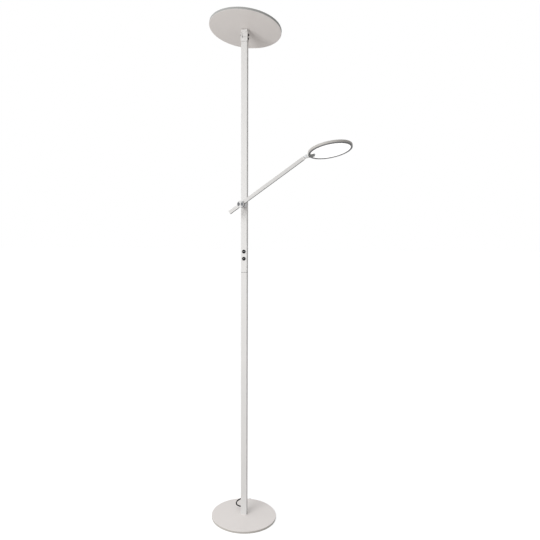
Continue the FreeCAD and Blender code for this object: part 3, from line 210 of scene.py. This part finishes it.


# the greyer rims of the disc and the base are painted shade, on walls that turn away from the light
DISC_AXIS = (0.101, 0.176, 0.979)
DISC_FACE = (0.82, 0.79, 0.77)
DISC_RIM_SHADE = (0.42, 0.425, 0.415)
BASE_AXIS = (0.0, 0.0, 1.0)
BASE_FACE = (0.88, 0.835, 0.81)
BASE_RIM_SHADE = (0.61, 0.585, 0.55)
RIM_SHADE_TO_FACE = (0.45, 0.9)     # cosines between which the rim's painted shade turns into the face's tone


def rim_shade_of(axis):
    """Painted shade: the greyer rim of a disc whose faces look along an axis."""
    def rim(surface):
        return surface.spread(surface.math("ABSOLUTE", facing(surface, axis)), *RIM_SHADE_TO_FACE, 1.0, 0.0, True)

    return rim


# painted shade: the arm's underside, turned away from the light, is darker in colour
ARM_UNDERSIDE = (0.576, 0.0, -0.817)
ARM_COLOUR = (0.71, 0.705, 0.695)
ARM_SHADE = (0.12, 0.12, 0.119)
ARM_TO_SHADE = (0.3, 0.7)     # cosines between which the arm's tone turns into the darker painted shade


def arm_painted_shade(surface):
    return surface.spread(facing(surface, ARM_UNDERSIDE), *ARM_TO_SHADE, smooth=True)


SEAMS = (0.916, 1.730)        # where the pole's tubes end: painted shade darkens the grooves
SEAM_EDGES = (0.0006, 0.00078)   # half a groove's width, and where its tone has faded
# the colour of the painted shade in the seam grooves
SEAM_SHADE_COLOUR = (0.30, 0.30, 0.295)
POLE_COLOUR = (0.80, 0.795, 0.785)


# painted shade: the pole is darker in the grooves where its tubes meet
def pole_seam_shade(surface):
    height = surface.split(surface.coords.outputs["Object"])[2]
    near = 0.0
    for seam in SEAMS:
        gap = surface.math("ABSOLUTE", surface.math("SUBTRACT", height, seam))
        near = surface.math("MAXIMUM", near, surface.spread(gap, *SEAM_EDGES, 1.0, 0.0))
    return near


# ---------------------------------------------------------------- turned metal
TURNED_STRENGTH = 0.2
TURNED_DEPTH = 0.00001

KNOB_CENTRE = (0.0, -0.0670, 1.1584)
KNOB_AXIS = (0.0, -1.0, 0.0)
KNOB_LIGHT = (0.62, 0.62, 0.615)
# painted sheen: the knob's side lighter, as the room's reflection in the metal would make it
KNOB_SIDE_SHEEN = (0.88, 0.88, 0.87)
# painted reflection: the dark sectors of a turned face's reflection, left and right
KNOB_REFLECTION_DARK = (0.15, 0.155, 0.165)
KNOB_SECTOR = (-0.75, 0.15)       # from -1 straight up or down to 1 straight left or right
KNOB_HUB = (0.0008, 0.0024)       # radii between which the sectors begin
KNOB_EDGE = (0.0098, 0.0112)      # radii between which they end
KNOB_FRONT = (0.3, 0.95)          # cosines between which the side's painted sheen turns into the face's tone
KNOB_RINGS = 16000.0              # radians of the rings' wave to a metre


def turned_face():
    """A turned disc: fine rings, with a painted reflection: the dark sectors that a face turned on a lathe
    reflects left and right, and a painted sheen that makes the side lighter.
    """
    surface = Surface("turned_face")
    x, y, z = surface.split(surface.vector("SUBTRACT", surface.coords.outputs["Object"], KNOB_CENTRE))
    x2, z2 = surface.math("MULTIPLY", x, x), surface.math("MULTIPLY", z, z)
    r2 = surface.math("ADD", x2, z2)
    radius = surface.math("SQRT", r2)
    sector = surface.math("DIVIDE", surface.math("SUBTRACT", x2, z2), surface.math("ADD", r2, 1e-9))
    # where the painted reflection's dark sectors lie
    dark = surface.spread(sector, *KNOB_SECTOR, smooth=True)
    dark = surface.math("MULTIPLY", dark, surface.spread(radius, *KNOB_HUB, smooth=True))
    dark = surface.math("MULTIPLY", dark, surface.spread(radius, *KNOB_EDGE, 1.0, 0.0, smooth=True))
    # where the side's painted sheen gives way to the face
    front = surface.spread(facing(surface, KNOB_AXIS), *KNOB_FRONT)
    surface.colour(surface.mix(dark, surface.mix(front, KNOB_SIDE_SHEEN, KNOB_LIGHT), KNOB_REFLECTION_DARK))
    surface.gloss(0.5, metallic=0.15, specular=0.2)
    rings = surface.math("SINE", surface.math("MULTIPLY", radius, KNOB_RINGS))
    surface.relief(rings, TURNED_STRENGTH, TURNED_DEPTH)
    return surface


BARREL_COLOUR = (0.50, 0.50, 0.505)
# painted shade: the barrel is darker in bands where it lies in shade
BARREL_BAND_SHADE = (0.30, 0.30, 0.305)
BARREL_SHADE_BANDS = (                  # bands of painted shade: place along Y, and the gaps where their tone fades
    (-0.0440, 0.0016, 0.0032),
    (-0.0180, 0.0024, 0.0048),
)
BARREL_RINGS = 14000.0            # radians of the rings' wave to a metre


def turned_side():
    """The spacer barrel: turned metal with darker bands of painted shade."""
    surface = Surface("turned_side")
    shade, cloud = surface.clouded(BARREL_COLOUR, 0.03, 60.0)
    y = surface.split(surface.coords.outputs["Object"])[1]
    # each band darkens the colour as painted shade
    for place, near, far in BARREL_SHADE_BANDS:
        gap = surface.math("ABSOLUTE", surface.math("SUBTRACT", y, place))
        shade = surface.mix(surface.spread(gap, near, far, 1.0, 0.0, smooth=True), shade, BARREL_BAND_SHADE)
    surface.colour(shade)
    surface.gloss(0.38, cloud, metallic=0.35, specular=0.3)
    rings = surface.math("SINE", surface.math("MULTIPLY", y, BARREL_RINGS))
    surface.relief(rings, TURNED_STRENGTH, TURNED_DEPTH)
    return surface


# ---------------------------------------------------------------- all materials
DIFFUSER_COLOUR = (0.92, 0.92, 0.915)
READING_GLOW = 0.7


def diffuser(name, glow):
    surface = plain(name, DIFFUSER_COLOUR, 0.45, specular=0.3, vary=0.006, grain=30.0, texture=1500.0)
    surface.shader.inputs["Emission Color"].default_value = (1, 1, 1, 1)
    surface.shader.inputs["Emission Strength"].default_value = glow
    return surface


def make_materials():
    surfaces = [
        # these four paints carry painted shade: in the pole's seam grooves, on the rims of base and disc,
        # under the arm
        paint_with_painted_shade("pole_paint", pole_seam_shade, SEAM_SHADE_COLOUR, POLE_COLOUR, 0.42, 0.10),
        paint_with_painted_shade("base_paint", rim_shade_of(BASE_AXIS), BASE_RIM_SHADE, BASE_FACE, 0.32, 0.3),
        paint_with_painted_shade("disc_paint", rim_shade_of(DISC_AXIS), DISC_RIM_SHADE, DISC_FACE, 0.42, 0.3),
        paint_with_painted_shade("arm_paint", arm_painted_shade, ARM_SHADE, ARM_COLOUR, 0.42, 0.10),
        paint("joint_paint", (0.76, 0.755, 0.745), 0.42, 0.15),
        paint("nose_paint", (0.80, 0.795, 0.785), 0.35, 0.3),
        paint("head_paint", (0.55, 0.535, 0.51), 0.42, 0.3),
        turned_face(),
        turned_side(),
        plain("hinge_metal", (0.62, 0.62, 0.61), 0.35, metallic=0.35, specular=0.4,
              grain=120.0, texture=1600.0, strength=0.15),
        # the head boss's dark colour is painted shade, where it sits under the reading head
        plain("painted_shade_metal", (0.16, 0.165, 0.16), 0.4, metallic=0.4, specular=0.4, vary=0.06,
              grain=160.0, texture=1800.0),
        plain("zinc", (0.50, 0.51, 0.53), 0.38, metallic=0.9, vary=0.08, grain=200.0),
        plain("rubber", (0.010, 0.010, 0.0105), 0.6, specular=0.08, vary=0.2,
              grain=150.0, texture=900.0, strength=0.3, depth=0.00004),
        plain("black_plastic", (0.03, 0.03, 0.032), 0.45, vary=0.15, grain=120.0, texture=1800.0),
        plain("button", (0.010, 0.010, 0.011), 0.5, specular=0.08, vary=0.15, grain=300.0, texture=2500.0),
        plain("mark", (0.50, 0.50, 0.49), 0.3, grain=500.0),
        plain("black_screw", (0.02, 0.02, 0.022), 0.45, specular=0.25, vary=0.1, grain=300.0),
        plain("white_plastic", (0.78, 0.78, 0.77), 0.5, vary=0.02, texture=1500.0),
        diffuser("diffuser", 0.0),
        diffuser("lit_diffuser", READING_GLOW),
        # the lip's dark colour is painted shade: the lip faces down, away from the light
        plain("lip", (0.135, 0.14, 0.145), 0.42, specular=0.3, vary=0.05, grain=200.0, texture=1800.0),
        plain("board", (0.04, 0.20, 0.10), 0.4, vary=0.15, grain=300.0),
        plain("steel_plate", (0.16, 0.16, 0.17), 0.6, metallic=0.3, vary=0.15),
        plain("led", (0.80, 0.68, 0.28), 0.3, vary=0.05, grain=400.0),
        plain("clear", (0.84, 0.86, 0.86), 0.15, vary=0.02),
        plain("aluminium", (0.72, 0.72, 0.71), 0.5, metallic=0.8, vary=0.04),
    ]
    return {surface.name: surface.material for surface in surfaces}


LOOKS = {
    "pole_paint": ("lower_pole", "upper_pole", "joiner_screws"),
    "base_paint": ("base_cover",),
    "joint_paint": ("uplight_fork", "uplight_link", "uplight_hub"),
    "disc_paint": ("uplight_pan",),
    "arm_paint": ("arm_tube", "arm_tail_cap"),
    "nose_paint": ("arm_nose",),
    "head_paint": ("head_housing",),
    "turned_face": ("pivot_knob",),
    "turned_side": ("pivot_barrel",),
    "hinge_metal": ("knuckle_fork",),
    "painted_shade_metal": ("head_boss",),
    "zinc": ("base_studs", "base_nuts", "cord_clamp", "pole_foot_plug", "pole_bolt", "pole_joiner",
             "pivot_spindle", "spindle_nut", "knuckle_pin", "swivel_screw", "boss_screws", "side_pin",
             "hub_screws"),
    "rubber": ("base_pad", "base_lead", "base_grommet", "jumper_lead", "pole_grommet", "pole_lead",
               "arm_lead"),
    "black_plastic": ("mains_gland", "tact_switches", "button_guide"),
    "button": ("button_upper", "button_lower"),
    "mark": ("upper_mark", "lower_mark"),
    "black_screw": ("tilt_screw", "tilt_nut"),
    "white_plastic": ("led_driver", "friction_washers", "arm_bush", "head_reflector", "head_back_frame",
                      "uplight_spacer"),
    "diffuser": ("uplight_diffuser",),
    "lit_diffuser": ("head_diffuser",),
    "lip": ("head_lip",),
    "board": ("control_board",),
    "steel_plate": ("base_weight",),
    "led": ("head_led_strip", "uplight_leds"),
    "clear": ("head_light_guide",),
    "aluminium": ("uplight_board",),
}


def dress_nodes(materials):
    for look, nodes in LOOKS.items():
        for node in nodes:
            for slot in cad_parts[node].material_slots:
                slot.material = materials[look]


# ---------------------------------------------------------------- the short lead
LEAD_DIAMETER = 0.0045
LEAD_ROUTE = [
    (0.0, 0.0215, 0.0575),
    (0.0, 0.0290, 0.0575),
    (-0.0060, 0.0350, 0.0556),
    (-0.0145, 0.0365, 0.0510),
    (-0.0235, 0.0358, 0.0456),
    (-0.0312, 0.0345, 0.0398),
    (-0.0364, 0.0336, 0.0326),
    (-0.0354, 0.0330, 0.0244),
    (-0.0276, 0.0330, 0.0206),
    (-0.0180, 0.0330, 0.0188),
    (-0.0090, 0.0330, 0.0168),
    (-0.0028, 0.0330, 0.0124),
]


def make_lead(materials):
    data = bpy.data.curves.new("short_lead", "CURVE")
    data.dimensions = "3D"
    spline = data.splines.new("NURBS")
    spline.points.add(len(LEAD_ROUTE) - 1)
    for point, place in zip(spline.points, LEAD_ROUTE):
        point.co = (*place, 1)
    spline.order_u = 3
    spline.use_endpoint_u = True
    data.resolution_u = 12
    data.bevel_depth = LEAD_DIAMETER / 2
    data.bevel_resolution = 4
    data.use_fill_caps = True
    lead = bpy.data.objects.new("short_lead", data)
    bpy.context.scene.collection.objects.link(lead)
    lead.data.materials.append(materials["rubber"])
    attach(lead, "stand")
    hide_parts("jumper_lead")


# ---------------------------------------------------------------- floor and light
def seen_straight(tree):
    """1 for a ray that comes from the camera, a reflection or a view through glass."""
    path = tree.nodes.new("ShaderNodeLightPath")
    value = path.outputs["Is Camera Ray"]
    for name in ("Is Glossy Ray", "Is Transmission Ray"):
        either = tree.nodes.new("ShaderNodeMath")
        either.operation = "MAXIMUM"
        tree.links.new(value, either.inputs[0])
        tree.links.new(path.outputs[name], either.inputs[1])
        value = either.outputs["Value"]
    return value


FLOOR_REACH = 30.0
FLOOR_COLOUR = (0.56, 0.53, 0.51)
FLOOR_GLOW = (0.70, 0.72, 0.735)   # added where the floor is seen, so that the lit floor is white


def make_floor():
    """A wide pale floor that shows the lamp's shadow."""
    material = bpy.data.materials.new("floor")
    material.use_nodes = True
    tree = material.node_tree
    tree.nodes.clear()
    output = tree.nodes.new("ShaderNodeOutputMaterial")
    matte = tree.nodes.new("ShaderNodeBsdfDiffuse")
    matte.inputs["Color"].default_value = (*FLOOR_COLOUR, 1)
    glow = tree.nodes.new("ShaderNodeEmission")
    tree.links.new(seen_straight(tree), glow.inputs["Strength"])
    glow.inputs["Color"].default_value = (*FLOOR_GLOW, 1)
    both = tree.nodes.new("ShaderNodeAddShader")
    tree.links.new(matte.outputs[0], both.inputs[0])
    tree.links.new(glow.outputs[0], both.inputs[1])
    tree.links.new(both.outputs[0], output.inputs["Surface"])
    material.cycles.emission_sampling = "NONE"   # the glow lights nothing, so no ray is spent on it
    mesh = bpy.data.meshes.new("floor")
    far = FLOOR_REACH
    mesh.from_pydata([(-far, -far, 0), (far, -far, 0), (far, far, 0), (-far, far, 0)], [], [(0, 1, 2, 3)])
    mesh.materials.append(material)
    floor = bpy.data.objects.new("floor", mesh)
    bpy.context.scene.collection.objects.link(floor)


SKY_SIDE = (-0.50, -0.05, 0.86)   # the room's light comes mostly from above and from the left
SKY_EDGE = -0.3                   # the cosine with that side up to which the sky is darkest
SKY_DARK = 0.12
SKY_BRIGHT = 0.78


def make_world():
    """Soft light, brighter from one side; white where it is seen."""
    world = bpy.data.worlds.new("world")
    bpy.context.scene.world = world
    world.use_nodes = True
    tree = world.node_tree
    tree.nodes.clear()
    output = tree.nodes.new("ShaderNodeOutputWorld")
    background = tree.nodes.new("ShaderNodeBackground")
    background.inputs["Color"].default_value = (1, 1, 1, 1)
    coords = tree.nodes.new("ShaderNodeTexCoord")
    side = tree.nodes.new("ShaderNodeVectorMath")
    side.operation = "DOT_PRODUCT"
    side.inputs[1].default_value = SKY_SIDE
    tree.links.new(coords.outputs["Generated"], side.inputs[0])
    sky = tree.nodes.new("ShaderNodeMapRange")
    sky.inputs["From Min"].default_value = SKY_EDGE
    sky.inputs["To Min"].default_value = SKY_DARK
    sky.inputs["To Max"].default_value = SKY_BRIGHT
    tree.links.new(side.outputs["Value"], sky.inputs["Value"])
    level = tree.nodes.new("ShaderNodeMapRange")
    level.inputs["To Max"].default_value = 1.0
    tree.links.new(seen_straight(tree), level.inputs["Value"])
    tree.links.new(sky.outputs["Result"], level.inputs["To Min"])
    tree.links.new(level.outputs["Result"], background.inputs["Strength"])
    tree.links.new(background.outputs[0], output.inputs["Surface"])


LIGHTS = {                        # place, target, width, height, watts
    "key": ((-0.75, -1.50, 1.24), (0, 0, 1.22), 1.0, 1.3, 20.0),
    "low_right": ((1.0, -0.5, 0.25), (0, 0, 0.1), 0.5, 0.5, 0.6),
}


def make_lights():
    for name, (place, target, width, height, power) in LIGHTS.items():
        data = bpy.data.lights.new(name, "AREA")
        data.shape = "RECTANGLE"
        data.size = width
        data.size_y = height
        data.energy = power
        light = bpy.data.objects.new(name, data)
        bpy.context.scene.collection.objects.link(light)
        light.location = place
        light.rotation_euler = (Vector(target) - Vector(place)).to_track_quat("-Z", "Y").to_euler()


def main():
    bpy.context.scene.view_settings.view_transform = "Standard"
    make_camera()
    materials = make_materials()
    make_lead(materials)
    dress_nodes(materials)
    make_floor()
    make_world()
    make_lights()


main()
